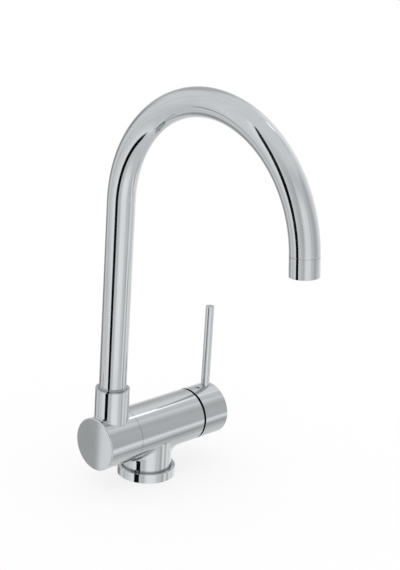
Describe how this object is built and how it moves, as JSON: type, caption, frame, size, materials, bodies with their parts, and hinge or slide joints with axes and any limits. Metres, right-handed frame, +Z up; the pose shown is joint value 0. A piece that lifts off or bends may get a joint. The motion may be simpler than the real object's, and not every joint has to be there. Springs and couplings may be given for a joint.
{
  "type": "kitchen mixer tap",
  "caption": "Chrome kitchen mixer tap with a horizontal barrel, a slim side lever and a tall arched swivel spout whose head folds down towards the user.",
  "frame": {"origin": "centre of the base's underside, on the deck", "axes": "+Z up, +X along the barrel towards the lever, -Y towards the user, the way the spout arches"},
  "size_m": [0.1448, 0.2532, 0.3879],
  "materials": {
    "chrome": "polished chrome plate on brass",
    "brass": "turned brass",
    "steel": "stainless steel",
    "rubber": "black sealing rubber",
    "black_plastic": "moulded, satin",
    "pale_plastic": "moulded, satin",
    "ceramic": "lapped white alumina ceramic"
  },
  "bodies": {
    "tap_body": {"base_ring": "chrome", "base_seal": "rubber", "body_casting": "chrome", "cartridge_base": "black_plastic", "port_seals": "rubber", "fixed_disc": "ceramic", "cartridge_housing": "black_plastic", "cartridge_nut": "brass", "fold_spindle": "brass", "spindle_seals": "rubber", "friction_washer": "pale_plastic", "spindle_washer": "steel", "spindle_nut": "brass"},
    "spout_head": {"head_casting": "chrome", "end_cover": "chrome", "spout_set_screw": "steel", "thrust_washer": "pale_plastic"},
    "spout": {"spout_tube": "chrome", "spout_foot": "brass", "swivel_bushes": "pale_plastic", "spout_seals": "rubber", "spout_nose": "brass", "aerator_sleeve": "chrome", "aerator_washer": "rubber", "aerator_cage": "pale_plastic", "flow_straightener": "pale_plastic"},
    "turret": {"cartridge_turret": "black_plastic", "stem_pivot_pin": "steel"},
    "handle": {"handle_cap": "chrome", "lever_pin": "chrome", "handle_set_screw": "steel", "cartridge_stem": "brass"},
    "moving_disc": {"moving_disc": "ceramic", "disc_carrier": "black_plastic"}
  },
  "joints": [
    {"name": "spout_fold", "type": "hinge", "parent": "tap_body", "child": "spout_head", "pos_m": [-0.04655, 0, 0.04488], "axis": [1, 0, 0], "range_deg": [0, 90]},
    {"name": "spout_swivel", "type": "hinge", "parent": "spout_head", "child": "spout", "pos_m": [-0.04655, 0, 0.0905], "axis": [0, 0, 1], "range_deg": [-90, 90]},
    {"name": "lever_turn", "type": "hinge", "parent": "tap_body", "child": "turret", "pos_m": [0.0323, 0, 0.04488], "axis": [1, 0, 0], "range_deg": [-45, 45]},
    {"name": "lever_tilt", "type": "hinge", "parent": "turret", "child": "handle", "pos_m": [0.0323, 0, 0.04488], "axis": [0, 1, 0], "range_deg": [0, 20]},
    {"name": "disc_slide", "type": "slide", "parent": "turret", "child": "moving_disc", "axis": [0, 0, 1], "range_m": [0, 0.0025]}
  ],
  "couplings": [
    {"joint": "disc_slide", "follows": "lever_tilt", "m_per_rad": 0.0071}
  ]
}
